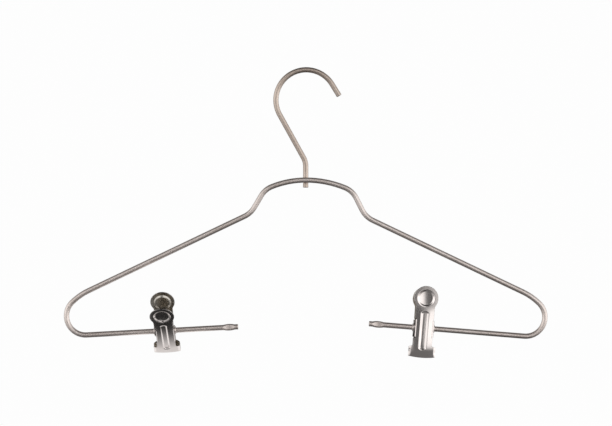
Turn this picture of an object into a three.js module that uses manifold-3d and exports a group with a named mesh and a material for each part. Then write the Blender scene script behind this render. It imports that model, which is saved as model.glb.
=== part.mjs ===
// Wire clothes hanger with two sprung sheet metal clips on its bars.
// Millimetres, +Z up, the front faces -Y. The origin is the inside top of the hook, where a rail carries it.

import * as THREE from 'three';
import { mergeVertices } from 'three/addons/utils/BufferGeometryUtils.js';
import Module from 'manifold-3d';

const wasm = await Module();
wasm.setup();

const radians = THREE.MathUtils.degToRad;

// Wire stock, and the gap left between pieces that touch
const WIRE_RADIUS = 2.2;
const WIRE_SIDES = 12;
const TOUCH_GAP = 0.3;
const BEND_SAG = 0.1;

// Frame wire, one half from the middle of the crown to the tip of its bar
const CROWN_DROP = 89.6;
const CROWN_TURN = radians(22);
const NECK_RADIUS = 18;
const NECK_STRAIGHT = 10.8;
const NECK_FOOT_RADIUS = 19.4;
const SHOULDER_SLOPE = radians(25.5);
const END_EASE_RADIUS = 50.4;
const END_EASE_TURN = radians(18.9);
const END_RADIUS = 15.9;

// What differs from side to side: the wire's bends and reach, and where the clip sits and leans
const LEFT = {
  name: 'left',
  hand: -1,
  crownRadius: 75.2,
  neckSlope: radians(59.6),
  shoulderStraight: 143,
  barRise: radians(3.1),
  tipFromMiddle: 56,
  clipFromMiddle: 116.6,
  clipLean: radians(40.5),
};
const RIGHT = {
  name: 'right',
  hand: 1,
  crownRadius: 86.7,
  neckSlope: radians(63.4),
  shoulderStraight: 137.6,
  barRise: radians(4.6),
  tipFromMiddle: 52.4,
  clipFromMiddle: 97.5,
  clipLean: radians(-5.5),
};
const SIDES = [LEFT, RIGHT];

// Pressed stop near the tip of each bar
const STOP_FROM_TIP = 7.6;
const STOP_HALF_LENGTH = 4.6;
const STOP_HALF_HEIGHT = 2.75;
const STOP_HALF_DEPTH = 2;
const STOP_PUNCH_RADIUS = 20;
const STOP_PUNCH_DEPTH = 0.6;

// Hook wire, welded behind the crown
const HOOK_RADIUS = 25.2;
const HOOK_TURN = radians(177.3);
const HOOK_TAIL = 11.5;
const HOOK_LEAN = radians(29);
const HOOK_LEAN_LENGTH = 40.7;
const HOOK_HEEL_RADIUS = 15;
const HOOK_FOOT_BELOW_CROWN = 6.2;
const WELD_RADIUS = 2.4;

// Clip sheet, in the plane of its plate: distances run up from the level of the bar
const SHEET = 0.8;
const PLATE_OFFSET = 6.15;
const PLATE_TILT = radians(6.2);
const BODY_HALF_WIDTH = 7.75;
const PAD_CENTRE = 24.6;
const PAD_RADIUS = 10;
const WAIST_FILLET = 4;
const FLARE_TOP = -14.6;
const FLARE_FULL = -16.4;
const LIP_HALF_WIDTH = 10.9;
const LIP_LINE = -18.8;
const LIP_LENGTH = 6.2;
const LIP_BOW = 0.9;
const LIP_BEND = radians(25);
const CHEEK_START = 7.9;
const CHEEK_DEPTH = 1.2;

// Pressed features of the plate: the thumb dish and the long groove
const DISH = { centre: PAD_CENTRE, rim: 7.4, floor: 5.4, depth: 1.2, halfRun: 0, sides: 24 };
const GROOVE = { centre: -2.05, rim: 3.6, floor: 2.7, depth: 0.7, halfRun: 12.8, sides: 16 };

// Ears that carry the pivot: each jaw has one outside and one inside its twin's
const EAR_RADIUS = 4.3;
const EAR_ROOT = 7.5;
const EAR_OUTSIDE = 7.5;
const EAR_SIDES = 20;

// Hollow rivet that the bar runs through
const RIVET_BORE = 2.45;
const RIVET_TUBE = 2.75;
const RIVET_FLANGE = 3.35;
const RIVET_FLANGE_THICKNESS = 0.5;
const RIVET_SIDES = 20;

// Torsion spring wound round the rivet
const SPRING_WIRE = 0.8;
const SPRING_TURNS = 5.5;
const SPRING_PITCH = 1.5;
const SPRING_LEG = 14;
const SPRING_LEG_SLOPE = radians(13.6);
const SPRING_STEPS_PER_TURN = 8;
const SPRING_SIDES = 5;

// Values that follow from the driving dimensions
const FRAME_Y = -(2 * WIRE_RADIUS + TOUCH_GAP);
const EAR_INSIDE = EAR_OUTSIDE - SHEET - TOUCH_GAP;
const EAR_HOLE = RIVET_TUBE + TOUCH_GAP;
const RIVET_HALF_LENGTH = EAR_OUTSIDE + SHEET + TOUCH_GAP + RIVET_FLANGE_THICKNESS;
const SPRING_RADIUS = EAR_HOLE + SPRING_WIRE / 2;
const PIVOT_IN_PLATE = { up: -PLATE_OFFSET * Math.sin(PLATE_TILT), out: -PLATE_OFFSET * Math.cos(PLATE_TILT) };

const satinNickel = new THREE.MeshStandardMaterial({ color: 0xb3aaa2, roughness: 0.35, metalness: 1 });
const brightNickel = new THREE.MeshStandardMaterial({ color: 0xc9c7c5, roughness: 0.16, metalness: 1 });
const springSteel = new THREE.MeshStandardMaterial({ color: 0x8f8d8b, roughness: 0.3, metalness: 1 });

// Closed geometry to solid and back, for joins and cuts

function solidOf(geometry) {
  const bare = geometry.clone();
  bare.deleteAttribute('normal');
  bare.deleteAttribute('uv');
  const merged = mergeVertices(bare, 1e-4);
  return new wasm.Manifold(new wasm.Mesh({
    numProp: 3,
    vertProperties: new Float32Array(merged.attributes.position.array),
    triVerts: new Uint32Array(merged.index.array),
  }));
}

function geometryOf(solid) {
  const { numProp, vertProperties, triVerts } = solid.getMesh();
  const positions = [];
  for (let i = 0; i < vertProperties.length; i += numProp) {
    positions.push(vertProperties[i], vertProperties[i + 1], vertProperties[i + 2]);
  }
  const geometry = new THREE.BufferGeometry();
  geometry.setAttribute('position', new THREE.Float32BufferAttribute(positions, 3));
  geometry.setIndex([...triVerts]);
  geometry.computeVertexNormals();
  return geometry;
}

// A curve through stations that are taken as they are, so that straight runs need no steps
class StationCurve extends THREE.Curve {
  constructor(points, tangents) {
    super();
    this.points = points;
    this.tangents = tangents;
  }

  station(t) {
    return Math.round(t * (this.points.length - 1));
  }

  getPoint(t) {
    return this.points[this.station(t)].clone();
  }

  getTangent(t) {
    return this.tangents[this.station(t)].clone();
  }

  getUtoTmapping(u) {
    return u;
  }
}

function pointAround(centreX, centreY, radius, angle) {
  return new THREE.Vector2(centreX + radius * Math.cos(angle), centreY + radius * Math.sin(angle));
}

function ringPoints(centreX, centreY, radius, sides) {
  const step = (2 * Math.PI) / sides;
  return Array.from({ length: sides }, (_, i) => pointAround(centreX, centreY, radius, step * (i + 0.5)));
}

function roundBar(curve, radius, sides) {
  const section = new THREE.Shape(ringPoints(0, 0, radius, sides));
  return new THREE.ExtrudeGeometry(section, { steps: curve.points.length - 1, extrudePath: curve });
}

// Wire bent in the XZ plane: runs are straights { length } and bends { radius, turn }, turn positive to the left
function bendWire(start, heading, runs) {
  const stations = [{ ...start, heading }];
  for (const { length, radius, turn } of runs) {
    const from = stations.at(-1);
    if (length !== undefined) {
      const x = from.x + length * Math.cos(from.heading);
      const z = from.z + length * Math.sin(from.heading);
      stations.push({ x, z, heading: from.heading });
      continue;
    }
    const side = Math.sign(turn);
    const steps = Math.ceil(Math.abs(turn) / (2 * Math.acos(1 - BEND_SAG / radius)));
    const centreX = from.x - side * radius * Math.sin(from.heading);
    const centreZ = from.z + side * radius * Math.cos(from.heading);
    for (let i = 1; i <= steps; i += 1) {
      const h = from.heading + (turn * i) / steps;
      stations.push({ x: centreX + side * radius * Math.sin(h), z: centreZ - side * radius * Math.cos(h), heading: h });
    }
  }
  return stations;
}

function wireCurve(stations, y) {
  const points = stations.map(({ x, z }) => new THREE.Vector3(x, y, z));
  const tangents = stations.map(({ heading }) => new THREE.Vector3(Math.cos(heading), 0, Math.sin(heading)));
  return new StationCurve(points, tangents);
}

// One half of the frame, bent to the right from the middle of the crown, and the line of its bar

function halfFrame({ crownRadius, neckSlope, shoulderStraight, barRise, tipFromMiddle }) {
  const bends = bendWire({ x: 0, z: -CROWN_DROP }, 0, [
    { radius: crownRadius, turn: -CROWN_TURN },
    { radius: NECK_RADIUS, turn: CROWN_TURN - neckSlope },
    { length: NECK_STRAIGHT },
    { radius: NECK_FOOT_RADIUS, turn: neckSlope - SHOULDER_SLOPE },
    { length: shoulderStraight },
    { radius: END_EASE_RADIUS, turn: -END_EASE_TURN },
    { radius: END_RADIUS, turn: SHOULDER_SLOPE + END_EASE_TURN - Math.PI - barRise },
  ]);
  const end = bends.at(-1);
  const barLength = (end.x - tipFromMiddle) / Math.cos(barRise);
  const tip = bendWire(end, end.heading, [{ length: barLength }]).at(-1);
  const heightAt = (fromMiddle) => end.z + (end.x - fromMiddle) * Math.tan(barRise);
  return { stations: [...bends, tip], heightAt };
}

const halves = Object.fromEntries(SIDES.map((side) => [side.name, halfFrame(side)]));

// Place on a side's bar, with +X along the bar towards the right
function barPlace(side, fromMiddle) {
  const place = new THREE.Object3D();
  place.position.set(side.hand * fromMiddle, FRAME_Y, halves[side.name].heightAt(fromMiddle));
  place.rotation.y = side.hand * side.barRise;
  place.updateMatrix();
  return place;
}

// The stop is squeezed between round punches, so that the wire is flat in front and behind and stands higher
function pressStop(wire, side) {
  const centre = side.tipFromMiddle + STOP_FROM_TIP * Math.cos(side.barRise);
  const { matrix } = barPlace(side, centre);
  const swell = new THREE.SphereGeometry(1, WIRE_SIDES, WIRE_SIDES / 2);
  swell.rotateZ(Math.PI / 2);
  swell.scale(STOP_HALF_LENGTH, STOP_HALF_DEPTH, STOP_HALF_HEIGHT).applyMatrix4(matrix);
  let stopped = wire.add(solidOf(swell));
  for (const face of [-1, 1]) {
    const punch = new THREE.CylinderGeometry(STOP_PUNCH_RADIUS, STOP_PUNCH_RADIUS, 4 * WIRE_RADIUS, 96);
    punch.rotateX(Math.PI / 2);
    punch.translate(0, face * (WIRE_RADIUS + STOP_PUNCH_RADIUS - STOP_PUNCH_DEPTH), 0).applyMatrix4(matrix);
    stopped = stopped.subtract(solidOf(punch));
  }
  return stopped;
}

function frameWire() {
  const mirrored = halves.left.stations.map(({ x, z, heading }) => ({ x: -x, z, heading: -heading }));
  const stations = [...mirrored.reverse(), ...halves.right.stations.slice(1)];
  const wire = solidOf(roundBar(wireCurve(stations, FRAME_Y), WIRE_RADIUS, WIRE_SIDES));
  const stopped = SIDES.reduce(pressStop, wire);
  const mesh = new THREE.Mesh(geometryOf(stopped), satinNickel.clone());
  mesh.name = 'frame_wire';
  return mesh;
}

// The hook is bent upwards from its heel, then set so that its inside top is the origin

function hook() {
  const upper = bendWire({ x: 0, z: 0 }, Math.PI / 2, [
    { radius: HOOK_HEEL_RADIUS, turn: HOOK_LEAN },
    { length: HOOK_LEAN_LENGTH },
    { radius: HOOK_RADIUS, turn: -HOOK_TURN },
    { length: HOOK_TAIL },
  ]);
  const leanTop = bendWire({ x: 0, z: 0 }, Math.PI / 2, [
    { radius: HOOK_HEEL_RADIUS, turn: HOOK_LEAN },
    { length: HOOK_LEAN_LENGTH },
  ]).at(-1);
  const crest = leanTop.z + HOOK_RADIUS * Math.sin(HOOK_LEAN) + HOOK_RADIUS;
  const lift = WIRE_RADIUS - crest;
  const foot = { x: 0, z: -CROWN_DROP - HOOK_FOOT_BELOW_CROWN, heading: Math.PI / 2 };
  const stations = [foot, ...upper.map((station) => ({ ...station, z: station.z + lift }))];
  const wire = solidOf(roundBar(wireCurve(stations, 0), WIRE_RADIUS, WIRE_SIDES));

  const nugget = new THREE.SphereGeometry(WELD_RADIUS, WIRE_SIDES, WIRE_SIDES / 2);
  nugget.translate(0, FRAME_Y / 2, -CROWN_DROP);
  const seat = new THREE.CylinderGeometry(WIRE_RADIUS + TOUCH_GAP, WIRE_RADIUS + TOUCH_GAP, 4 * WELD_RADIUS, 24);
  seat.rotateZ(Math.PI / 2);
  seat.translate(0, FRAME_Y, -CROWN_DROP);
  const weld = solidOf(nugget).subtract(solidOf(seat));

  const mesh = new THREE.Mesh(geometryOf(wire.add(weld)), satinNickel.clone());
  mesh.name = 'hook';
  return mesh;
}

// Jaw plate, in the plane of the plate: x across, y up, z out of the clip

const easeIn = (value, from, to) => THREE.MathUtils.smoothstep(value, from, to);

function waistFillet() {
  const across = BODY_HALF_WIDTH + WAIST_FILLET;
  const reach = PAD_RADIUS + WAIST_FILLET;
  const drop = Math.sqrt(reach * reach - across * across);
  return { across, height: PAD_CENTRE - drop, angle: Math.atan2(drop, across) };
}

const waist = waistFillet();

function halfWidth(up) {
  const padFoot = PAD_CENTRE - PAD_RADIUS * Math.sin(waist.angle);
  if (up >= padFoot) return Math.sqrt(Math.max(PAD_RADIUS ** 2 - (up - PAD_CENTRE) ** 2, 0));
  if (up >= waist.height) return waist.across - Math.sqrt(WAIST_FILLET ** 2 - (up - waist.height) ** 2);
  const flare = 1 - easeIn(up, FLARE_FULL, FLARE_TOP);
  return BODY_HALF_WIDTH + (LIP_HALF_WIDTH - BODY_HALF_WIDTH) * flare;
}

// How far the sheet is set out of its plane: the lip bends in, and the flare's cheeks curl in above it
function sheetOffset(across, up) {
  const lip = Math.min(up - LIP_LINE, 0) * Math.tan(LIP_BEND);
  const past = Math.max(Math.abs(across) - CHEEK_START, 0) / (LIP_HALF_WIDTH - CHEEK_START);
  const curl = easeIn(up, LIP_LINE - LIP_LENGTH, FLARE_FULL) * (1 - easeIn(up, FLARE_TOP, 0));
  return lip - CHEEK_DEPTH * curl * past * past;
}

function plateRows() {
  const lipEnd = LIP_LINE - LIP_LENGTH;
  const rows = [lipEnd, (lipEnd + LIP_LINE) / 2, LIP_LINE, (LIP_LINE + FLARE_FULL) / 2];
  const flareSteps = 4;
  for (let i = 0; i <= flareSteps; i += 1) rows.push(FLARE_FULL + ((FLARE_TOP - FLARE_FULL) * i) / flareSteps);
  const filletSteps = 3;
  for (let i = 0; i < filletSteps; i += 1) {
    rows.push(waist.height + WAIST_FILLET * Math.sin((waist.angle * i) / filletSteps));
  }
  const padSteps = 12;
  const padTop = radians(82);
  for (let i = 0; i <= padSteps; i += 1) {
    rows.push(PAD_CENTRE + PAD_RADIUS * Math.sin(-waist.angle + ((padTop + waist.angle) * i) / padSteps));
  }
  return rows;
}

const PLATE_COLUMNS = [-1, -0.9, -0.8, -0.7, -0.35, 0, 0.35, 0.7, 0.8, 0.9, 1];

// The lip's edge is bowed: its rows rise towards their ends
function bowedRow(row, column) {
  const partOfLip = Math.max(LIP_LINE - row, 0) / LIP_LENGTH;
  return row + LIP_BOW * partOfLip * column * column;
}

function plate() {
  const rows = plateRows();
  const wide = PLATE_COLUMNS.length;
  const skin = rows.length * wide;
  const positions = [];
  for (const face of [SHEET / 2, -SHEET / 2]) {
    for (const row of rows) {
      for (const column of PLATE_COLUMNS) {
        const across = column * halfWidth(row);
        const up = bowedRow(row, column);
        positions.push(across, up, face + sheetOffset(across, up));
      }
    }
  }
  const index = [];
  const quad = (a, b, c, d) => index.push(a, b, c, a, c, d);
  for (let r = 0; r < rows.length - 1; r += 1) {
    for (let c = 0; c < wide - 1; c += 1) {
      const low = r * wide + c;
      quad(low, low + 1, low + wide + 1, low + wide);
      quad(skin + low, skin + low + wide, skin + low + wide + 1, skin + low + 1);
    }
  }
  const rim = [];
  for (let c = 0; c < wide - 1; c += 1) rim.push(c);
  for (let r = 0; r < rows.length - 1; r += 1) rim.push(r * wide + wide - 1);
  for (let c = wide - 1; c > 0; c -= 1) rim.push(skin - wide + c);
  for (let r = rows.length - 1; r > 0; r -= 1) rim.push(r * wide);
  rim.forEach((from, i) => {
    const to = rim[(i + 1) % rim.length];
    quad(skin + from, skin + to, to, from);
  });
  const geometry = new THREE.BufferGeometry();
  geometry.setAttribute('position', new THREE.Float32BufferAttribute(positions, 3));
  geometry.setIndex(index);
  return geometry;
}

// A cone's frustum drawn out along the plate, from one depth to another, for a pressing or its back
function frustum({ centre, halfRun, sides }, lowRadius, lowDepth, highRadius, highDepth) {
  const geometry = new THREE.CylinderGeometry(highRadius, lowRadius, highDepth - lowDepth, sides);
  geometry.rotateY(Math.PI / sides).rotateX(Math.PI / 2);
  const position = geometry.attributes.position;
  for (let i = 0; i < position.count; i += 1) {
    const y = position.getY(i);
    if (Math.abs(y) > 1e-6) position.setY(i, y + Math.sign(y) * halfRun);
  }
  return geometry.translate(0, centre, (lowDepth + highDepth) / 2);
}

function press(sheet, feature) {
  const { rim, floor, depth } = feature;
  const slope = (rim - floor) / depth;
  const back = -SHEET / 2;
  const front = SHEET / 2;
  const bulge = frustum(feature, floor, back - depth, rim + slope * front, 0);
  const hollow = frustum(feature, floor, front - depth, rim + slope * front, front + front);
  return sheet.add(solidOf(bulge)).subtract(solidOf(hollow));
}

function ear(inner) {
  const { up, out } = PIVOT_IN_PLATE;
  const reach = Math.hypot(out, EAR_ROOT);
  const touch = Math.atan2(EAR_ROOT, -out) + Math.acos(EAR_RADIUS / reach);
  const arcSteps = EAR_SIDES / 2;
  const arcStep = (2 * Math.PI - 2 * touch) / arcSteps;
  const outline = new THREE.Shape([new THREE.Vector2(0, up - EAR_ROOT), new THREE.Vector2(0, up + EAR_ROOT)]);
  for (let i = 0; i <= arcSteps; i += 1) {
    const corner = pointAround(out, up, EAR_RADIUS, touch + arcStep * i);
    outline.lineTo(corner.x, corner.y);
  }
  const holeCorner = EAR_HOLE / Math.cos(Math.PI / EAR_SIDES);
  outline.holes.push(new THREE.Path(ringPoints(out, up, holeCorner, EAR_SIDES).reverse()));
  const geometry = new THREE.ExtrudeGeometry(outline, { depth: SHEET, bevelEnabled: false });
  return geometry.rotateY(-Math.PI / 2).translate(inner + SHEET, 0, 0);
}

// Both jaws are the same pressing: one ear stands outside its twin's, the other inside
function jawGeometry() {
  const blank = solidOf(plate());
  const pressed = [DISH, GROOVE].reduce(press, blank);
  const outside = solidOf(ear(EAR_OUTSIDE));
  const inside = solidOf(ear(-EAR_INSIDE - SHEET));
  return geometryOf(pressed.add(outside).add(inside));
}

function jaw(name, geometry) {
  const mesh = new THREE.Mesh(geometry, brightNickel.clone());
  mesh.name = name;
  mesh.rotation.x = Math.PI / 2 + PLATE_TILT;
  mesh.position.y = -PLATE_OFFSET;
  return mesh;
}

function hollowRivet(name) {
  const end = RIVET_HALF_LENGTH;
  const shoulder = end - RIVET_FLANGE_THICKNESS;
  const profile = [
    [RIVET_BORE, -end],
    [RIVET_FLANGE, -end],
    [RIVET_FLANGE, -shoulder],
    [RIVET_TUBE, -shoulder],
    [RIVET_TUBE, shoulder],
    [RIVET_FLANGE, shoulder],
    [RIVET_FLANGE, end],
    [RIVET_BORE, end],
    [RIVET_BORE, -end],
  ].map(([radius, along]) => new THREE.Vector2(radius, along));
  const mesh = new THREE.Mesh(new THREE.LatheGeometry(profile, RIVET_SIDES), brightNickel.clone());
  mesh.name = name;
  mesh.rotation.z = -Math.PI / 2;
  return mesh;
}

// The spring's coil winds about the bar and a leg rises inside each jaw

function springCurve() {
  const turn = 2 * Math.PI * SPRING_TURNS - 2 * SPRING_LEG_SLOPE;
  const steps = Math.round(SPRING_TURNS * SPRING_STEPS_PER_TURN);
  const rise = (SPRING_PITCH * turn) / (2 * Math.PI);
  const points = [];
  for (let i = 0; i <= steps; i += 1) {
    const angle = SPRING_LEG_SLOPE + (turn * i) / steps;
    const along = rise * (i / steps - 0.5);
    points.push(new THREE.Vector3(along, -SPRING_RADIUS * Math.cos(angle), -SPRING_RADIUS * Math.sin(angle)));
  }
  const leg = (end, towards) => new THREE.Vector3(
    end.x,
    end.y + towards * SPRING_LEG * Math.sin(SPRING_LEG_SLOPE),
    end.z + SPRING_LEG * Math.cos(SPRING_LEG_SLOPE),
  );
  points.unshift(leg(points[0], -1));
  points.push(leg(points.at(-1), 1));
  const tangents = points.map((_, i) => {
    const before = points[Math.max(i - 1, 0)];
    const after = points[Math.min(i + 1, points.length - 1)];
    return after.clone().sub(before).normalize();
  });
  return new StationCurve(points, tangents);
}

// Least clear distance from the spring's wire to itself, between points over half a turn apart
function leastGap({ points }) {
  const apart = SPRING_STEPS_PER_TURN / 2;
  let least = Infinity;
  points.forEach((point, i) => {
    for (let j = i + apart; j < points.length; j += 1) least = Math.min(least, point.distanceTo(points[j]));
  });
  return least - SPRING_WIRE;
}

function spring(name, curve) {
  const mesh = new THREE.Mesh(roundBar(curve, SPRING_WIRE / 2, SPRING_SIDES), springSteel.clone());
  mesh.name = name;
  return mesh;
}

// A clip on its bar: its rivet keeps to the bar and its jaws lean about it
function clip(side, jawShape, curve) {
  const onBar = new THREE.Group();
  onBar.copy(barPlace(side, side.clipFromMiddle), false);
  const leaning = new THREE.Group();
  leaning.rotation.x = side.clipLean;
  const turned = new THREE.Group();
  turned.rotation.z = Math.PI;
  turned.add(jaw(`${side.name}_rear_jaw`, jawShape));
  leaning.add(jaw(`${side.name}_front_jaw`, jawShape), turned, spring(`${side.name}_spring`, curve));
  onBar.add(hollowRivet(`${side.name}_hollow_rivet`), leaning);
  return onBar;
}

const hanger = new THREE.Group();
const jawShape = jawGeometry();
const coil = springCurve();
console.log(`spring wire's least gap to itself: ${leastGap(coil).toFixed(2)} mm`);
hanger.add(frameWire(), hook(), ...SIDES.map((side) => clip(side, jawShape, coil)));

export default hanger;
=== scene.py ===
"""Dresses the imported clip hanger: fine wires and clips, nickel finishes, a white studio and the camera."""

import math

import bpy
import numpy as np
from mathutils import Matrix, Vector


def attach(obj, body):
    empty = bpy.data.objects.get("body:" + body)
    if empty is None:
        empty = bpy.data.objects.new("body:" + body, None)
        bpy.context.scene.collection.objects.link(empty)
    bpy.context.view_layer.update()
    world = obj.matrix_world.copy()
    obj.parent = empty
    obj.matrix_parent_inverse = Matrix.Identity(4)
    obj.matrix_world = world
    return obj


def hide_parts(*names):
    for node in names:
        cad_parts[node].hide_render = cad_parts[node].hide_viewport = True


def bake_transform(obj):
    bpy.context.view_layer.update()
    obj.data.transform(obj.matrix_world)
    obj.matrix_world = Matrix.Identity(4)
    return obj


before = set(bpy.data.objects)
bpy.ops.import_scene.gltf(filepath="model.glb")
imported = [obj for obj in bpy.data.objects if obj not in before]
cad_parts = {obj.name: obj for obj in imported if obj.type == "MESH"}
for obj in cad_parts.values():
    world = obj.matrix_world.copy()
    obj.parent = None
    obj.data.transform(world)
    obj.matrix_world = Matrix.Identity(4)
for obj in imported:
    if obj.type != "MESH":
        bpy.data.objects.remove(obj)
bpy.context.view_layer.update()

# All sizes and places below are in millimetres
MM = 0.001
radians = math.radians

# Wire stock
WIRE_RADIUS = 2.2
WIRE_SIDES = 32
WIRE_END_ROUND = 0.3
WIRE_END_RING = 0.5
BEND_STEP = radians(3)
SHARP_ANGLE = radians(40)
FRAME_Y = -4.7

# Frame wire, one half from the middle of the crown to the tip of its bar
CROWN_DROP = 89.6
CROWN_TURN = radians(22)
NECK_RADIUS = 18
NECK_STRAIGHT = 10.8
NECK_FOOT_RADIUS = 19.4
SHOULDER_SLOPE = radians(25.5)
END_EASE_RADIUS = 50.4
END_EASE_TURN = radians(18.9)
END_RADIUS = 15.9
LEFT = dict(
    name="left", hand=-1, crown_radius=75.2, neck_slope=radians(59.6), shoulder=143,
    bar_rise=radians(3.1), tip=56, clip=116.6, lean=radians(40.5),
)
RIGHT = dict(
    name="right", hand=1, crown_radius=86.7, neck_slope=radians(63.4), shoulder=137.6,
    bar_rise=radians(4.6), tip=52.4, clip=97.5, lean=radians(-5.5),
)

# Pressed stop near the tip of each bar
STOP_FROM_TIP = 7.6
STOP_HALF_LENGTH = 4.6
STOP_SWELL = 0.55
STOP_PUNCH_RADIUS = 20
STOP_HALF_DEPTH = 1.6
STOP_CORNER = 0.05
STOP_RUN = STOP_FROM_TIP + 1.5 * STOP_HALF_LENGTH
STOP_STEP = 0.25

# Hook wire and its weld
HOOK_RADIUS = 25.2
HOOK_TURN = radians(177.3)
HOOK_TAIL = 11.5
HOOK_LEAN = radians(29)
HOOK_LEAN_LENGTH = 40.7
HOOK_HEEL_RADIUS = 15
HOOK_FOOT_BELOW_CROWN = 6.2
WELD_RADIUS = 2.4
WELD_WIDER = 1.15
WELD_FLATTER = 0.8
WELD_LUMP = 0.06
WELD_LUMPS_AROUND = 5
WELD_LUMPS_TWIST = 3
WELD_POLE = 0.04
WELD_ROWS = 14
WELD_SIDES = 24

# Clip sheet, in the plane of its plate: distances run up from the level of the bar
SHEET = 0.8
EDGE_ROUND = 0.16
PLATE_OFFSET = 6.15
PLATE_TILT = radians(6.2)
PLATE_CROWN_RADIUS = 55
PAD_CROWN = 0.05
PAD_CROWN_START = 3
PAD_CROWN_END = 20
BODY_HALF_WIDTH = 7.75
PAD_CENTRE = 24.6
PAD_RADIUS = 10
PAD_TOP = radians(88)
WAIST_FILLET = 4
FLARE_TOP = -14.6
FLARE_FULL = -16.4
LIP_HALF_WIDTH = 10.9
LIP_LINE = -18.8
LIP_LENGTH = 6.2
LIP_END = LIP_LINE - LIP_LENGTH
LIP_BOW = 0.9
LIP_CROWN = 0.5
LIP_BEND = radians(22.5)
LIP_BEND_SOFTNESS = 4.5
CHEEK_START = 9.1
CHEEK_SOFTNESS = 0.05
CHEEK_DEPTH = 1
CHEEK_FADE = 5
DISH_RIM = 7.4
DISH_FLOOR = 5.4
DISH_DEPTH = 1.2
DISH_HOLLOW = 0.2
GROOVE_CENTRE = -2.35
GROOVE_HALF_RUN = 14
GROOVE_END_STEEPER = 1.5
GROOVE_RIM = 3.6
GROOVE_FLOOR = 1.3
GROOVE_DEPTH = 0.95
GROOVE_DEEPER = 0.35
PLATE_COLUMNS = 84
PLATE_ROW = 0.24
FILLET_ROWS = 6
PAD_ROWS = 84
SLOPE_STEP = 0.01

# Hollow rivet
RIVET_BORE = 2.45
RIVET_TUBE = 2.75
RIVET_FLANGE = 3.35
RIVET_FLANGE_THICKNESS = 0.5
RIVET_HALF_LENGTH = 9.1
RIVET_MOUTH_POINTS = 5
RIVET_FLANGE_POINTS = 7
RIVET_SIDES = 48

# Ears round the rivet; the right one lies outside its twin's and the left one inside
EAR_RADIUS = 4.3
EAR_HOLE_GAP = 0.15
EAR_HOLE = RIVET_TUBE + EAR_HOLE_GAP
EAR_ROOT = 7.5
EAR_OUTSIDE = 7.9
EAR_INSIDE = -6.8
EAR_BEND = 0.7
EAR_BEND_END = 0.999
EAR_NOTCH = 0.8
EAR_SECTORS = 72
EAR_RINGS = 9

# Spring
SPRING_WIRE = 0.8
SPRING_RADIUS = 3.45
SPRING_TURNS = 5.5
SPRING_PITCH = 1.5
SPRING_LEG = 14
SPRING_LEG_SLOPE = radians(13.6)
SPRING_LEG_STEPS = 6
SPRING_STEPS = 24
SPRING_SIDES = 12
SPRING_SHARP_ANGLE = radians(50)

# Finishes
CLOUD_SCALE = 55
CLOUD_DETAIL = 5
CLOUD_RANGE = (0.38, 0.72)
LINE_DETAIL = 3
LINE_RANGE = (0.3, 0.7)
LINE_STRENGTH = 0.5
# Colour of the jaws' inner faces: partly a duller finish, partly painted shade between the jaws
INSIDE_DULL_AND_SHADE_COLOUR = (0.6, 0.56, 0.5)
INSIDE_ROUGHER = 0.12
WHITE = (0.985, 0.985, 0.985, 1)

# Light tent, by direction: the angles are heights and turns, the other spans run along the axes
TENT_LIGHT = 1.35
TENT_TOP = (radians(18), radians(54))
TENT_FOOT_LEFT = (radians(-38), radians(8))
TENT_FOOT_RIGHT = (radians(-30), radians(-6))
TENT_MIDDLE = (-0.2, 0.2)
TENT_SIDES = (0.6, 0.95)
TENT_SIDE_LIGHT = (0.95, 1.4)
TENT_SIDE_FALL = (radians(0), radians(32))
TENT_SIDE_END = 0.5
TENT_BACK_START = (0.1, 0.5)
TENT_BACK_MIDDLE = (-0.5, 0.5)
TENT_BACK_LIGHT = (0.25, 0.4)
SLIT_LEFT = (radians(-20), radians(-11))
SLIT_RIGHT = (radians(3), radians(8.2))
SLIT_HEIGHT = (radians(8), radians(40))
SLIT_LIGHT = (0, 0.25)
ROOM_LIGHT = (0.15, 0.2)
ROOM_RISE = (radians(12), radians(40))
ROOM_FALL = (radians(52), radians(80))
ROOM_END = 0.15

# Floor, and cards below the clips
FLOOR_ACROSS = (-3000, 3000)
FLOOR_LEVEL = -450
CLIP_CARD_ACROSS = (-160, -70)
CLIP_CARD_DEPTH = (-12, 80)
CLIP_CARD_LEVEL = -250
CLIP_CARD_FADE = (-12, 14)
CLIP_CARD_LIGHT = (0.03, 0.72)
SIDE_CARDS_ACROSS = ((-150, -131), (-102, -83))
SIDE_CARD_DEPTH = (-14, 50)
SIDE_CARD_LEVEL = -249
SIDE_CARD_LIGHT = 0.9
LIP_CARD_ACROSS = (-128, -105)
LIP_CARD_DEPTH = (-600, -35)
LIP_CARD_LEVEL = -420
LIP_CARD_LIGHT = 0.5
DIM_CARDS_ACROSS = ((-210, -130), (-103, -50), (50, 112))
DIM_CARD_DEPTH = (-70, 10)
DIM_CARD_LEVEL = -270
DIM_CARD_LIGHT = 0.15

# Camera, set square to the hanger; the picture is as wide as this at the frame wire
CAMERA_DISTANCE = 1400
PICTURE_WIDTH = 507.2
PICTURE_MIDDLE = (0.25, -116.9)
SENSOR_WIDTH = 36


# Mesh helpers

def smooth(value, start, end):
    """0 before start, 1 after end, and an even curve between."""
    part = np.clip((value - start) / (end - start), 0, 1)
    return part * part * (3 - 2 * part)


def soft_positive(value, softness):
    """The value where it is positive and 0 elsewhere, with the corner at 0 softened."""
    return 0.5 * (value + np.sqrt(value**2 + softness**2))


def unit(vectors):
    """The vectors, each scaled to a length of 1."""
    return vectors / np.linalg.norm(vectors, axis=-1, keepdims=True)


def closed_grid(rows, columns):
    """Faces of a grid whose columns close on themselves."""
    faces = []
    for row in range(rows - 1):
        low, high = row * columns, (row + 1) * columns
        for column in range(columns):
            after = (column + 1) % columns
            faces.append((low + column, low + after, high + after, high + column))
    return faces


def closed_tube(rows, columns):
    """Faces of a closed grid with both ends shut."""
    first = tuple(range(columns))[::-1]
    last = tuple(range((rows - 1) * columns, rows * columns))
    return closed_grid(rows, columns) + [first, last]


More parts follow.
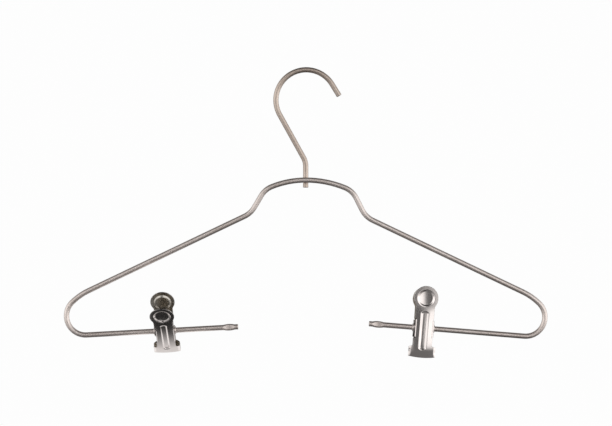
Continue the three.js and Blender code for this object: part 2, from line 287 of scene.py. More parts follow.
def make_piece(
    name, points, faces, grain, normals=None, edge=None, inside=None, matrix=Matrix(), sharp=SHARP_ANGLE
):
    """A mesh object from points in millimetres; grain holds the coordinates that its finish follows."""
    mesh = bpy.data.meshes.new(name)
    mesh.from_pydata((np.asarray(points) * MM).tolist(), [], faces)
    mesh.shade_smooth()
    lines = mesh.attributes.new("grain", "FLOAT_VECTOR", "POINT")
    lines.data.foreach_set("vector", np.asarray(grain, np.float32).ravel())
    for title, amounts in (("edge", edge), ("inside", inside)):
        values = np.zeros(len(points)) if amounts is None else amounts
        mesh.attributes.new(title, "FLOAT", "POINT").data.foreach_set("value", values.astype(np.float32))
    mesh.transform(matrix)
    if normals is None:
        mesh.set_sharp_from_angle(angle=sharp)
    else:
        turned = normals @ np.array(matrix.to_3x3()).T
        mesh.normals_split_custom_set_from_vertices(turned.tolist())
    piece = bpy.data.objects.new(name, mesh)
    bpy.context.scene.collection.objects.link(piece)
    return piece


# Wires

def move_along(station, distance):
    """The station that far along its heading."""
    x, z, heading = station
    return x + distance * math.cos(heading), z + distance * math.sin(heading), heading


def bend_wire(start, heading, runs):
    """Stations (x, z, heading) of a wire bent in the XZ plane by straight and (radius, turn) runs."""
    stations = [(*start, heading)]
    for run in runs:
        if not isinstance(run, tuple):
            stations.append(move_along(stations[-1], run))
            continue
        x, z, heading = stations[-1]
        radius, turn = run
        reach = math.copysign(radius, turn)
        centre_x = x - reach * math.sin(heading)
        centre_z = z + reach * math.cos(heading)
        steps = math.ceil(abs(turn) / BEND_STEP)
        for step in range(1, steps + 1):
            turned = heading + turn * step / steps
            place = (centre_x + reach * math.sin(turned), centre_z - reach * math.cos(turned))
            stations.append((*place, turned))
    return stations


def half_frame(side):
    """Stations of one half of the frame, bent to the right, with close stations along its pressed stop."""
    bends = bend_wire((0, -CROWN_DROP), 0, [
        (side["crown_radius"], -CROWN_TURN),
        (NECK_RADIUS, CROWN_TURN - side["neck_slope"]),
        NECK_STRAIGHT,
        (NECK_FOOT_RADIUS, side["neck_slope"] - SHOULDER_SLOPE),
        side["shoulder"],
        (END_EASE_RADIUS, -END_EASE_TURN),
        (END_RADIUS, SHOULDER_SLOPE + END_EASE_TURN - math.pi - side["bar_rise"]),
    ])
    x, z, heading = bends[-1]
    bar = (x - side["tip"]) / math.cos(side["bar_rise"])
    steps = round(STOP_RUN / STOP_STEP)
    straight = bend_wire((x, z), heading, [bar - STOP_RUN] + [STOP_RUN / steps] * steps)
    return bends + straight[1:]


def round_section():
    """Section of the wire: distances up and deep of the points round it."""
    angles = 2 * math.pi * (np.arange(WIRE_SIDES) + 0.5) / WIRE_SIDES
    return WIRE_RADIUS * np.cos(angles), WIRE_RADIUS * np.sin(angles)


def stop_section(from_stop):
    """Section of the bar that far from its stop's middle: squeezed flat in front and behind, and higher."""
    up, deep = round_section()
    swell = STOP_SWELL * max(1 - (from_stop / STOP_HALF_LENGTH) ** 2, 0)
    limit = STOP_HALF_DEPTH + from_stop**2 / (2 * STOP_PUNCH_RADIUS)
    pressed = np.abs(deep) - soft_positive(np.abs(deep) - limit, STOP_CORNER)
    return up * (1 + swell / WIRE_RADIUS), np.sign(deep) * pressed


def wire_rings(stations):
    """Rings of a wire with rounded rims at its flat ends: a station, how far along it is, and a scale."""
    flat = np.array(stations)
    steps = np.hypot(np.diff(flat[:, 0]), np.diff(flat[:, 1]))
    along = np.concatenate([[0], np.cumsum(steps)])
    first, last, length = stations[0], stations[-1], along[-1]
    rim = 1 - WIRE_END_ROUND / WIRE_RADIUS
    rings = [(first, 0, WIRE_END_RING), (first, 0, rim)]
    rings.append((move_along(first, WIRE_END_ROUND), WIRE_END_ROUND, 1))
    rings += [(station, distance, 1) for station, distance in zip(stations[1:-1], along[1:-1])]
    rings.append((move_along(last, -WIRE_END_ROUND), length - WIRE_END_ROUND, 1))
    rings += [(last, length, rim), (last, length, WIRE_END_RING)]
    return rings


def wire_mesh(stations, y, section):
    """Points, faces and grain of a wire; its section goes by the distance from the nearer end."""
    rings = wire_rings(stations)
    length = rings[-1][1]
    points, grain = [], []
    for (x, z, heading), along, scale in rings:
        section_up, section_deep = section(min(along, length - along))
        for up, deep in zip(section_up * scale, section_deep * scale):
            points.append((x - up * math.sin(heading), y + deep, z + up * math.cos(heading)))
            grain.append((along, up, deep))
    return points, closed_tube(len(rings), WIRE_SIDES), grain


def frame_wire():
    """The frame from the left bar's tip to the right bar's."""
    left = [(-x, z, -heading) for x, z, heading in half_frame(LEFT)]
    stations = left[::-1] + half_frame(RIGHT)[1:]
    wire = wire_mesh(stations, FRAME_Y, lambda from_end: stop_section(from_end - STOP_FROM_TIP))
    return make_piece("frame_wire_fine", *wire)


def weld():
    """Points and faces of a lumpy nugget between the two wires where they cross."""
    polar = np.linspace(WELD_POLE, math.pi - WELD_POLE, WELD_ROWS)[:, None]
    around = np.linspace(0, 2 * math.pi, WELD_SIDES, endpoint=False)[None, :]
    waves = np.sin(WELD_LUMPS_AROUND * around + WELD_LUMPS_TWIST * polar)
    lump = 1 + WELD_LUMP * waves * np.sin(polar) ** 2
    x = WELD_RADIUS * WELD_WIDER * lump * np.sin(polar) * np.cos(around)
    z = WELD_RADIUS * lump * np.sin(polar) * np.sin(around)
    y = WELD_RADIUS * WELD_FLATTER * np.cos(polar) + 0 * around
    points = np.stack([x, y + FRAME_Y / 2, z - CROWN_DROP], -1).reshape(-1, 3)
    return points.tolist(), [face[::-1] for face in closed_tube(WELD_ROWS, WELD_SIDES)]


def hook():
    """The hook from its foot behind the crown to its tail, with the weld."""
    upper = bend_wire((0, 0), math.pi / 2, [
        (HOOK_HEEL_RADIUS, HOOK_LEAN),
        HOOK_LEAN_LENGTH,
        (HOOK_RADIUS, -HOOK_TURN),
        HOOK_TAIL,
    ])
    lean_top = HOOK_HEEL_RADIUS * math.sin(HOOK_LEAN) + HOOK_LEAN_LENGTH * math.cos(HOOK_LEAN)
    lift = WIRE_RADIUS - (lean_top + HOOK_RADIUS * math.sin(HOOK_LEAN) + HOOK_RADIUS)
    foot = (0, -CROWN_DROP - HOOK_FOOT_BELOW_CROWN, math.pi / 2)
    stations = [foot] + [(x, z + lift, heading) for x, z, heading in upper]
    points, faces, grain = wire_mesh(stations, 0, lambda from_end: round_section())
    nugget_points, nugget_faces = weld()
    faces += [tuple(corner + len(points) for corner in face) for face in nugget_faces]
    return make_piece("hook_fine", points + nugget_points, faces, grain + nugget_points)


# Jaws, in the plane of the plate: x across, y up, z out of the clip

PIVOT_UP = -PLATE_OFFSET * math.sin(PLATE_TILT)
PIVOT_OUT = -PLATE_OFFSET * math.cos(PLATE_TILT)
EAR_ROOT_ANGLE = math.atan2(EAR_ROOT, -PIVOT_OUT)
FILLET_ACROSS = BODY_HALF_WIDTH + WAIST_FILLET
FILLET_DROP = math.sqrt((PAD_RADIUS + WAIST_FILLET) ** 2 - FILLET_ACROSS**2)
FILLET_HEIGHT = PAD_CENTRE - FILLET_DROP
FILLET_ANGLE = math.atan2(FILLET_DROP, FILLET_ACROSS)


def half_width(up):
    """Half the plate's width at each height, without the notches at its ears."""
    flare = 1 - smooth(up, FLARE_FULL, FLARE_TOP)
    body = BODY_HALF_WIDTH + (LIP_HALF_WIDTH - BODY_HALF_WIDTH) * flare
    fillet = FILLET_ACROSS - np.sqrt(np.maximum(WAIST_FILLET**2 - (up - FILLET_HEIGHT) ** 2, 0))
    pad = np.sqrt(np.maximum(PAD_RADIUS**2 - (up - PAD_CENTRE) ** 2, 0))
    pad_foot = PAD_CENTRE - PAD_RADIUS * math.sin(FILLET_ANGLE)
    return np.where(up >= pad_foot, pad, np.where(up >= FILLET_HEIGHT, fillet, body))


def edge_width(up, ear_at):
    """Half width with the notch where the sheet turns into an ear whose middle is that far across."""
    rise = smooth(up, PIVOT_UP - EAR_ROOT - EAR_NOTCH, PIVOT_UP - EAR_ROOT)
    fall = smooth(up, PIVOT_UP + EAR_ROOT, PIVOT_UP + EAR_ROOT + EAR_NOTCH)
    turned = abs(ear_at) - EAR_BEND
    width = half_width(up)
    return width + (turned - width) * rise * (1 - fall)


def lip_depth(up):
    """How far the lip is bent in, from a soft line downwards."""
    return soft_positive(LIP_LINE - up, LIP_BEND_SOFTNESS) * math.tan(LIP_BEND)


def cheek_depth(across, up):
    """How far the cheeks at the lip's sides are folded in."""
    past = (np.abs(across) - CHEEK_START) / (LIP_HALF_WIDTH - CHEEK_START)
    curl = smooth(up, LIP_END, LIP_END + CHEEK_FADE) * (1 - smooth(up, FLARE_TOP, 0))
    return CHEEK_DEPTH * curl * soft_positive(past, CHEEK_SOFTNESS)


def crown_depth(across, up):
    """How far the rounded plate falls away from its middle line, less at the pad and at the lip's end."""
    share = 1 - (1 - PAD_CROWN) * smooth(up, PAD_CROWN_START, PAD_CROWN_END)
    share -= (1 - LIP_CROWN) * (1 - smooth(up, LIP_END, LIP_LINE))
    return share * across**2 / (2 * PLATE_CROWN_RADIUS)


def dish_depth(across, up):
    """How far the round dish in the pad is pressed in."""
    from_centre = np.hypot(across, up - PAD_CENTRE)
    hollow = DISH_HOLLOW * np.maximum(1 - (from_centre / DISH_FLOOR) ** 2, 0)
    return DISH_DEPTH * (1 - smooth(from_centre, DISH_FLOOR, DISH_RIM)) + hollow


def groove_depth(across, up):
    """How far the long groove is pressed in, deeper towards the lip."""
    past_run = np.maximum(np.abs(up - GROOVE_CENTRE) - GROOVE_HALF_RUN, 0)
    from_groove = np.hypot(across, past_run * GROOVE_END_STEEPER)
    depth = GROOVE_DEPTH + GROOVE_DEEPER * (GROOVE_CENTRE - up) / GROOVE_HALF_RUN
    return depth * (1 - smooth(from_groove, GROOVE_FLOOR, GROOVE_RIM))


def sheet_height(across, up):
    """How far the sheet's middle stands out of the plate's plane."""
    edges = lip_depth(up) + cheek_depth(across, up)
    pressings = dish_depth(across, up) + groove_depth(across, up)
    return -edges - crown_depth(across, up) - pressings


def sheet_normals(across, up):
    """Directions square to the sheet, out of the clip."""
    step = SLOPE_STEP
    slope_x = (sheet_height(across + step, up) - sheet_height(across - step, up)) / (2 * step)
    slope_y = (sheet_height(across, up + step) - sheet_height(across, up - step)) / (2 * step)
    return unit(np.stack([-slope_x, -slope_y, np.ones_like(across)], -1))


def thick_sheet(middle, normal, faces, rims):
    """A closed sheet from its middle's points: both faces, and an edge with rounded corners along each rim.

    A rim is a loop of points, with the sheet on its left as seen from the front, and the directions
    out of the sheet at them.
    """
    count = len(middle)
    flat = SHEET / 2 - EDGE_ROUND
    inset = middle.copy()
    for rim, outwards in rims:
        inset[rim] -= EDGE_ROUND * outwards
    points = [inset + normal * SHEET / 2, inset - normal * SHEET / 2]
    normals = [normal, -normal]
    made = list(faces) + [tuple(corner + count for corner in face[::-1]) for face in faces]
    total = 2 * count
    for rim, outwards in rims:
        points += [middle[rim] + normal[rim] * flat, middle[rim] - normal[rim] * flat]
        normals += [outwards, outwards]
        edge_front = np.arange(total, total + len(rim))
        edge_back = edge_front + len(rim)
        loops = [rim, edge_front, edge_back, rim + count]
        for upper, lower in zip(loops, loops[1:]):
            made += zip(upper, lower, np.roll(lower, -1), np.roll(upper, -1))
        total += 2 * len(rim)
    return dict(
        points=np.concatenate(points),
        faces=made,
        normals=np.concatenate(normals),
        edge=np.repeat([0, 1], [2 * count, total - 2 * count]),
        inside=np.repeat([0, 1, 0], [count, count, total - 2 * count]),
    )


def plate_rows():
    """Heights of the plate's rows, close where its outline is round."""
    steps = round((FILLET_HEIGHT - LIP_END) / PLATE_ROW)
    body = np.linspace(LIP_END, FILLET_HEIGHT, steps, endpoint=False)
    fillet_turns = np.linspace(0, FILLET_ANGLE, FILLET_ROWS, endpoint=False)
    fillet = FILLET_HEIGHT + WAIST_FILLET * np.sin(fillet_turns)
    pad = PAD_CENTRE + PAD_RADIUS * np.sin(np.linspace(-FILLET_ANGLE, PAD_TOP, PAD_ROWS))
    return np.concatenate([body, fillet, pad])


def plate():
    """The pressed plate from the lip to the pad."""
    rows = plate_rows()
    columns = np.linspace(-1, 1, PLATE_COLUMNS + 1)
    wide = len(columns)
    right = edge_width(rows, EAR_OUTSIDE)[:, None] * np.maximum(columns, 0)
    left = edge_width(rows, EAR_INSIDE)[:, None] * np.minimum(columns, 0)
    across = left + right
    part_of_lip = np.maximum(LIP_LINE - rows, 0) / LIP_LENGTH
    up = rows[:, None] + LIP_BOW * part_of_lip[:, None] * columns**2
    middle = np.stack([across, up, sheet_height(across, up)], -1).reshape(-1, 3)
    normal = sheet_normals(across, up).reshape(-1, 3)
    numbers = np.arange(len(middle)).reshape(-1, wide)
    faces = []
    for row in numbers[:-1]:
        faces += [(low, low + 1, low + wide + 1, low + wide) for low in row[:-1]]
    sides = [numbers[0, :-1], numbers[:-1, -1], numbers[-1, :0:-1], numbers[:0:-1, 0]]
    rim = np.concatenate(sides)
    along = middle[np.roll(rim, -1)] - middle[np.roll(rim, 1)]
    outwards = unit(np.cross(along, normal[rim]))
    return thick_sheet(middle, normal, faces, [(rim, outwards)])


def ear_outline(angles):
    """Distance from the pivot to the ear's outline at each angle from straight out of the clip."""
    touch = EAR_ROOT_ANGLE + math.acos(EAR_RADIUS / math.hypot(PIVOT_OUT, EAR_ROOT))
    turned = np.abs((angles + math.pi) % (2 * math.pi) - math.pi)
    on_root = -PIVOT_OUT / np.cos(np.minimum(turned, EAR_ROOT_ANGLE))
    on_tangent = EAR_RADIUS / np.cos(touch - np.clip(turned, EAR_ROOT_ANGLE, touch))
    free = np.where(turned <= touch, on_tangent, EAR_RADIUS)
    return np.where(turned <= EAR_ROOT_ANGLE, on_root, free)


def ear(at):
    """An ear that far across, round the pivot's hole, curling into the plate along its root."""
    angles = np.linspace(-math.pi, math.pi, EAR_SECTORS, endpoint=False)
    snap = np.abs(np.abs(angles) - EAR_ROOT_ANGLE) < math.pi / EAR_SECTORS
    angles = np.where(snap, np.sign(angles) * EAR_ROOT_ANGLE, angles)
    spread = np.linspace(0, 1, EAR_RINGS)[:, None]
    distance = EAR_HOLE + (ear_outline(angles)[None, :] - EAR_HOLE) * spread
    out = PIVOT_OUT + distance * np.cos(angles)
    up = PIVOT_UP + distance * np.sin(angles)
    turn = np.clip((out + EAR_BEND) / EAR_BEND, 0, 1)
    drop = EAR_BEND * (1 - np.sqrt(1 - np.minimum(turn, EAR_BEND_END) ** 2))
    hand = math.copysign(1, at)
    middle = np.stack([hand * (abs(at) - drop), up, out], -1).reshape(-1, 3)
    normal = np.stack([hand * np.sqrt(1 - turn**2), 0 * up, turn], -1).reshape(-1, 3)
    away = unit((middle - np.array([0, PIVOT_UP, PIVOT_OUT])) * np.array([0, 1, 1]))
    faces = closed_grid(EAR_RINGS, EAR_SECTORS)
    hole = np.arange(EAR_SECTORS)
    outline = hole + (EAR_RINGS - 1) * EAR_SECTORS
    if hand > 0:
        outline = outline[::-1]
    else:
        hole = hole[::-1]
        faces = [face[::-1] for face in faces]
    return thick_sheet(middle, normal, faces, [(outline, away[outline]), (hole, -away[hole])])


def jaw_sheet():
    """Plate and ears as one set of points and faces, with normals, worn edges and the inside faces, which
    are duller and darkened partly with painted shade.
    """
    parts = [plate(), ear(EAR_OUTSIDE), ear(EAR_INSIDE)]
    joined = {}
    for title in ("points", "normals", "edge", "inside"):
        joined[title] = np.concatenate([part[title] for part in parts])
    faces = []
    shift = 0
    for part in parts:
        faces += [tuple(int(corner) + shift for corner in face) for face in part["faces"]]
        shift += len(part["points"])
    return dict(joined, faces=faces, grain=joined["points"])


# Places on the bars, and the pieces round them

def bar_place(side):
    """Frame of a clip on its bar: x along the bar to the right, through the clip's middle."""
    x, z, _ = half_frame(side)[-1]
    height = z + (x - side["clip"]) * math.tan(side["bar_rise"])
    place = Matrix.Translation(Vector((side["hand"] * side["clip"], FRAME_Y, height)) * MM)
    return place @ Matrix.Rotation(side["hand"] * side["bar_rise"], 4, "Y")


def clip_place(side):
    """The clip's frame on its bar, leaning as the clip does."""
    return bar_place(side) @ Matrix.Rotation(side["lean"], 4, "X")


def jaw_place(side, rear):
    """Frame of a jaw's plate; the rear jaw is the front one turned round."""
    place = clip_place(side)
    if rear:
        place = place @ Matrix.Rotation(math.pi, 4, "Z")
    set_out = Matrix.Translation((0, -PLATE_OFFSET * MM, 0))
    return place @ set_out @ Matrix.Rotation(math.pi / 2 + PLATE_TILT, 4, "X")


def rivet_half():
    """Half the rivet's profile as (radius, along), from the bore's middle to the tube's middle."""
    end, mouth, edge = RIVET_HALF_LENGTH, RIVET_FLANGE_THICKNESS, RIVET_FLANGE_THICKNESS / 2
    half = [(RIVET_BORE, 0)]
    for turn in np.linspace(0, math.pi / 2, RIVET_MOUTH_POINTS):
        half.append((RIVET_BORE + mouth * (1 - math.cos(turn)), end - mouth + mouth * math.sin(turn)))
    for turn in np.linspace(math.pi / 2, -math.pi / 2, RIVET_FLANGE_POINTS):
        half.append((RIVET_FLANGE - edge + edge * math.cos(turn), end - edge + edge * math.sin(turn)))
    return half + [(RIVET_TUBE, end - mouth), (RIVET_TUBE, 0)]


def hollow_rivet(side):
    """A tube with a rolled flange at both ends."""
    half = rivet_half()
    profile = half + [(radius, -along) for radius, along in half[-2:0:-1]]
    points = []
    for turn in np.linspace(0, 2 * math.pi, RIVET_SIDES, endpoint=False):
        points += [(along, radius * math.cos(turn), radius * math.sin(turn)) for radius, along in profile]
    grid = closed_grid(RIVET_SIDES + 1, len(profile))
    faces = [tuple(corner % len(points) for corner in face) for face in grid]
    return make_piece(f"{side['name']}_hollow_rivet_fine", points, faces, points, matrix=bar_place(side))


def spring_line():
    """The spring's line, from the leg in the front jaw to the one in the rear jaw, and its coil's run."""
    turn = 2 * math.pi * SPRING_TURNS - 2 * SPRING_LEG_SLOPE
    rise = SPRING_PITCH * turn / (2 * math.pi)
    part = np.linspace(0, 1, round(SPRING_TURNS * SPRING_STEPS) + 1)
    angle = SPRING_LEG_SLOPE + turn * part
    deep, up = -SPRING_RADIUS * np.cos(angle), -SPRING_RADIUS * np.sin(angle)
    coil = np.stack([rise * (part - 0.5), deep, up], -1)
    lean, climb = SPRING_LEG * math.sin(SPRING_LEG_SLOPE), SPRING_LEG * math.cos(SPRING_LEG_SLOPE)
    reach = np.linspace(1, 0, SPRING_LEG_STEPS, endpoint=False)[:, None]
    front_leg = coil[0] + reach * np.array([0, -lean, climb])
    rear_leg = coil[-1] + reach[::-1] * np.array([0, lean, climb])
    return np.concatenate([front_leg, coil, rear_leg]), rise


def spring(side):
    """The spring, and the middles of its coil's ends at the rear leg and at the front leg."""
    line, rise = spring_line()
    tangent = unit(np.gradient(line, axis=0))
    side_way = unit(np.cross(tangent, np.array([1.0, 0, 0])))
    other_way = np.cross(tangent, side_way)
    around = 2 * math.pi * np.arange(SPRING_SIDES) / SPRING_SIDES
    cosines, sines = np.cos(around), np.sin(around)
    ring = cosines[None, :, None] * side_way[:, None] + sines[None, :, None] * other_way[:, None]
    points = (line[:, None] + SPRING_WIRE / 2 * ring).reshape(-1, 3)
    along = np.concatenate([[0], np.cumsum(np.linalg.norm(np.diff(line, axis=0), axis=1))])
    grain = np.stack([np.repeat(along, SPRING_SIDES), *np.tile([cosines, sines], len(line))], -1)
    faces = closed_tube(len(line), SPRING_SIDES)
    place = clip_place(side)
    piece = make_piece(
        f"{side['name']}_spring_fine", points, faces, grain, matrix=place, sharp=SPRING_SHARP_ANGLE
    )
    return piece, place @ Vector((rise / 2 * MM, 0, 0)), place @ Vector((-rise / 2 * MM, 0, 0))


# Nodes

def fill(tree, node, inputs):
    """Sets a node's inputs by name or number: a socket is linked, anything else is the input's value."""
    for key, value in inputs.items():
        if isinstance(value, bpy.types.NodeSocket):
            tree.links.new(value, node.inputs[key])
        else:
            node.inputs[key].default_value = value


def add_node(tree, kind, inputs=None, **settings):
    """A new node with its settings and inputs."""
    node = tree.nodes.new(kind)
    for name, value in settings.items():
        setattr(node, name, value)
    fill(tree, node, inputs or {})
    return node


def calculate(tree, operation, *values):
    """The result of a math node."""
    return add_node(tree, "ShaderNodeMath", dict(enumerate(values)), operation=operation).outputs["Value"]


def between(tree, value, edges, results, curve="SMOOTHSTEP"):
    """From the first result to the second as the value goes from edge to edge, and level beyond."""
    names = ("From Min", "From Max", "To Min", "To Max")
    inputs = dict(zip(names, (*edges, *results)), Value=value)
    return add_node(tree, "ShaderNodeMapRange", inputs, interpolation_type=curve).outputs["Result"]


def mix_colour(tree, factor, first, second):
    """A mix of two colours."""
    inputs = {"Factor": factor, "A": first, "B": second}
    return add_node(tree, "ShaderNodeMix", inputs, data_type="RGBA").outputs["Result"]


def noise(tree, place, scale, detail):
    """Noise of that scale over the place."""
    inputs = {"Vector": place, "Scale": scale, "Detail": detail}
    return add_node(tree, "ShaderNodeTexNoise", inputs).outputs["Fac"]


# Materials

def nickel(name, colour, tarnish, edge_colour, roughness, spread, line_scale, line_depth):
    """Plated metal with drawn lines along its grain, cloudy tarnish, uneven polish and worn edges."""
    material = bpy.data.materials.new(name)
    material.use_nodes = True
    tree = material.node_tree
    grain = add_node(tree, "ShaderNodeAttribute", attribute_name="grain").outputs["Vector"]
    edge = add_node(tree, "ShaderNodeAttribute", attribute_name="edge").outputs["Fac"]
    inside = add_node(tree, "ShaderNodeAttribute", attribute_name="inside").outputs["Fac"]
    place = add_node(tree, "ShaderNodeTexCoord").outputs["Object"]
    stretch = add_node(tree, "ShaderNodeVectorMath", {0: grain, 1: line_scale}, operation="MULTIPLY")
    lines = noise(tree, stretch.outputs["Vector"], 1, LINE_DETAIL)
    clouds = noise(tree, place, CLOUD_SCALE, CLOUD_DETAIL)

    cloudy = between(tree, clouds, CLOUD_RANGE, (0, 1), "LINEAR")
    plated = mix_colour(tree, cloudy, (*colour, 1), (*tarnish, 1))
    # Inner faces turn darker: partly a duller finish, partly painted shade between the jaws
    dull_and_shaded = mix_colour(tree, inside, plated, (*INSIDE_DULL_AND_SHADE_COLOUR, 1))
    worn = mix_colour(tree, edge, dull_and_shaded, (*edge_colour, 1))
    polish = between(tree, lines, LINE_RANGE, (roughness - spread, roughness + spread), "LINEAR")
    bump = add_node(
        tree, "ShaderNodeBump", {"Strength": LINE_STRENGTH, "Distance": line_depth * MM, "Height": lines}
    )
    fill(tree, tree.nodes["Principled BSDF"], {
        "Metallic": 1,
        "Base Color": worn,
        "Roughness": calculate(tree, "MULTIPLY_ADD", inside, INSIDE_ROUGHER, polish),
        "Normal": bump.outputs["Normal"],
    })
    return material


WIRE_FINISH = dict(
    edge_colour=(0.5, 0.45, 0.42), roughness=0.38, spread=0.03, line_scale=(0.07, 6, 6), line_depth=0.0012,
)
FRAME_NICKEL = nickel("frame_nickel", (0.84, 0.75, 0.705), (0.7, 0.61, 0.56), **WIRE_FINISH)
HOOK_NICKEL = nickel("hook_nickel", (0.63, 0.53, 0.46), (0.52, 0.43, 0.37), **WIRE_FINISH)
BRIGHT_NICKEL = nickel(
    "bright_nickel", (0.93, 0.862, 0.832), (0.84, 0.77, 0.738), edge_colour=(0.62, 0.58, 0.55),
    roughness=0.13, spread=0.03, line_scale=(5, 0.35, 5), line_depth=0.001,
)
SPRING_STEEL = nickel(
    "spring_steel", (0.42, 0.4, 0.38), (0.33, 0.3, 0.28), edge_colour=(0.4, 0.38, 0.36),
    roughness=0.3, spread=0.06, line_scale=(0.2, 4, 4), line_depth=0.006,
)


# Pieces on their bodies

def dress(piece, material, node, body=None):
    """Gives a piece its finish and its place in the frame; a piece without a body stays unattached."""
    piece.data.materials.append(material)
    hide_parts(node)
    if body is not None:
        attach(piece, body)


dress(frame_wire(), FRAME_NICKEL, "frame_wire", "hanger")
dress(hook(), HOOK_NICKEL, "hook", "hanger")
sheet = jaw_sheet()
for side in (LEFT, RIGHT):
    name = side["name"]
    for which, body in (("front", f"{name}_clip_front"), ("rear", f"{name}_clip")):
        jaw = make_piece(f"{name}_{which}_jaw_fine", **sheet, matrix=jaw_place(side, which == "rear"))
        dress(jaw, BRIGHT_NICKEL, f"{name}_{which}_jaw", body)
    dress(hollow_rivet(side), BRIGHT_NICKEL, f"{name}_hollow_rivet", f"{name}_rivet")
    coil, rear_end, front_end = spring(side)
    dress(coil, SPRING_STEEL, f"{name}_spring")
    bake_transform(coil)


# Studio: white to the camera; to the metal a light tent with a slit for the camera, and cards

def front_wall(tree, x, rise):
    """The tent's wall by height, with a softer foot on the left."""
    top = between(tree, rise, TENT_TOP, (1, 0))
    foot_left = between(tree, rise, TENT_FOOT_LEFT, (0, 1))
    foot_right = between(tree, rise, TENT_FOOT_RIGHT, (0, 1))
    right = between(tree, x, TENT_MIDDLE, (0, 1))
    gain = calculate(tree, "SUBTRACT", foot_right, foot_left)
    foot = calculate(tree, "ADD", foot_left, calculate(tree, "MULTIPLY", gain, right))
    return calculate(tree, "MULTIPLY", top, foot)


def side_walls(tree, x, steep):
    """The walls at the left and the right, which fade upwards and downwards."""
    light = between(tree, x, TENT_MIDDLE, TENT_SIDE_LIGHT)
    fall = between(tree, steep, TENT_SIDE_FALL, (1, TENT_SIDE_END))
    part = between(tree, calculate(tree, "ABSOLUTE", x), TENT_SIDES, (0, 1))
    return calculate(tree, "MULTIPLY", part, calculate(tree, "MULTIPLY", light, fall))


def dimmed(tree, part, light):
    """1 outside a part of the tent and that light inside it."""
    loss = calculate(tree, "SUBTRACT", 1, light)
    return calculate(tree, "SUBTRACT", 1, calculate(tree, "MULTIPLY", part, loss))


def camera_slit(tree, turn, rise):
    """The dark slit through which the camera looks, lighter higher up."""
    left = between(tree, turn, SLIT_LEFT, (0, 1))
    right = between(tree, turn, SLIT_RIGHT, (1, 0))
    part = calculate(tree, "MULTIPLY", left, right)
    return dimmed(tree, part, between(tree, rise, SLIT_HEIGHT, SLIT_LIGHT))


def dim_back(tree, x, y):
    """The dimmer wall behind the hanger, a little lighter on the right."""
    part = between(tree, y, TENT_BACK_START, (0, 1))
    return dimmed(tree, part, between(tree, x, TENT_BACK_MIDDLE, TENT_BACK_LIGHT))


def room_light(tree, steep):
    """The weak light of the room, which shows most above and below the tent."""
    rise = between(tree, steep, ROOM_RISE, ROOM_LIGHT)
    fall = between(tree, steep, ROOM_FALL, (1, ROOM_END))
    return calculate(tree, "MULTIPLY", rise, fall)


def tent_light(tree, direction):
    """Strength of the tent's light by direction."""
    axes = add_node(tree, "ShaderNodeSeparateXYZ", {"Vector": direction})
    x, y, z = (axes.outputs[axis] for axis in "XYZ")
    rise = calculate(tree, "ARCSINE", z)
    steep = calculate(tree, "ABSOLUTE", rise)
    turn = calculate(tree, "ARCTAN2", x, calculate(tree, "MULTIPLY", y, -1))
    walls = calculate(tree, "MAXIMUM", front_wall(tree, x, rise), side_walls(tree, x, steep))
    walls = calculate(tree, "MULTIPLY", walls, dim_back(tree, x, y))
    walls = calculate(tree, "MULTIPLY", walls, camera_slit(tree, turn, rise))
    bright = calculate(tree, "MULTIPLY", walls, TENT_LIGHT)
    return calculate(tree, "ADD", bright, room_light(tree, steep))


def studio_world():
    """White to the camera, the light tent to the metal."""
    world = bpy.data.worlds.new("studio")
    world.use_nodes = True
    tree = world.node_tree
    tree.nodes.clear()
    place = add_node(tree, "ShaderNodeTexCoord")
    light = tent_light(tree, place.outputs["Generated"])
    tent = add_node(tree, "ShaderNodeBackground", {"Strength": light})
    white = add_node(tree, "ShaderNodeBackground", {"Color": WHITE})
    rays = add_node(tree, "ShaderNodeLightPath")
    choose = add_node(tree, "ShaderNodeMixShader", {
        "Fac": rays.outputs["Is Camera Ray"],
        1: tent.outputs["Background"],
        2: white.outputs["Background"],
    })
    add_node(tree, "ShaderNodeOutputWorld", {"Surface": choose.outputs["Shader"]})
    bpy.context.scene.world = world


def level_card(name, across, depth, level):
    """A level, glowing white card, with its material's nodes and the one that glows."""
    material = bpy.data.materials.new(name)
    material.use_nodes = True
    tree = material.node_tree
    tree.nodes.clear()
    glow = add_node(tree, "ShaderNodeEmission", {"Color": WHITE})
    add_node(tree, "ShaderNodeOutputMaterial", {"Surface": glow.outputs["Emission"]})
    (left, right), (front, back) = across, depth
    corners = [(left, front, level), (right, front, level), (right, back, level), (left, back, level)]
    mesh = bpy.data.meshes.new(name)
    mesh.from_pydata((np.array(corners) * MM).tolist(), [], [(0, 1, 2, 3)])
    mesh.materials.append(material)
    card = bpy.data.objects.new(name, mesh)
    bpy.context.scene.collection.objects.link(card)
    return card, tree, glow


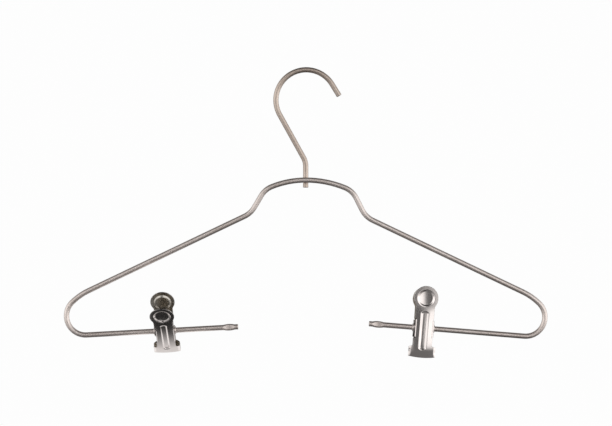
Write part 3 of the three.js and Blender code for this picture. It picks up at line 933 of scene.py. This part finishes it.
def pale_floor():
    """A white floor below the hanger, kept out of the metal's reflections."""
    floor, _, _ = level_card("pale_floor", FLOOR_ACROSS, FLOOR_ACROSS, FLOOR_LEVEL)
    floor.visible_glossy = False
    floor.visible_diffuse = False


def metal_card(name, across, depth, level, strength):
    """A card of that strength, which shows only in the metal."""
    card, tree, glow = level_card(name, across, depth, level)
    card.visible_camera = False
    fill(tree, glow, {"Strength": strength})


def clip_card():
    """A card under the left clip that fades towards the camera and shows only in the metal."""
    card, tree, glow = level_card("clip_card", CLIP_CARD_ACROSS, CLIP_CARD_DEPTH, CLIP_CARD_LEVEL)
    card.visible_camera = False
    place = add_node(tree, "ShaderNodeTexCoord")
    axes = add_node(tree, "ShaderNodeSeparateXYZ", {"Vector": place.outputs["Object"]})
    edges = [edge * MM for edge in CLIP_CARD_FADE]
    fill(tree, glow, {"Strength": between(tree, axes.outputs["Y"], edges, CLIP_CARD_LIGHT)})


studio_world()
pale_floor()
clip_card()
metal_card("lip_card", LIP_CARD_ACROSS, LIP_CARD_DEPTH, LIP_CARD_LEVEL, LIP_CARD_LIGHT)
for number, across in enumerate(SIDE_CARDS_ACROSS):
    metal_card(f"side_card_{number}", across, SIDE_CARD_DEPTH, SIDE_CARD_LEVEL, SIDE_CARD_LIGHT)
for number, across in enumerate(DIM_CARDS_ACROSS):
    metal_card(f"dim_card_{number}", across, DIM_CARD_DEPTH, DIM_CARD_LEVEL, DIM_CARD_LIGHT)

# Camera, and the view transform
camera_data = bpy.data.cameras.new("camera")
camera_data.sensor_fit = "HORIZONTAL"
camera_data.sensor_width = SENSOR_WIDTH
camera_data.lens = SENSOR_WIDTH * CAMERA_DISTANCE / PICTURE_WIDTH
camera = bpy.data.objects.new("camera", camera_data)
camera.location = Vector((PICTURE_MIDDLE[0], FRAME_Y - CAMERA_DISTANCE, PICTURE_MIDDLE[1])) * MM
camera.rotation_euler = (math.pi / 2, 0, 0)
bpy.context.scene.collection.objects.link(camera)
bpy.context.scene.camera = camera
bpy.context.scene.view_settings.view_transform = "Standard"
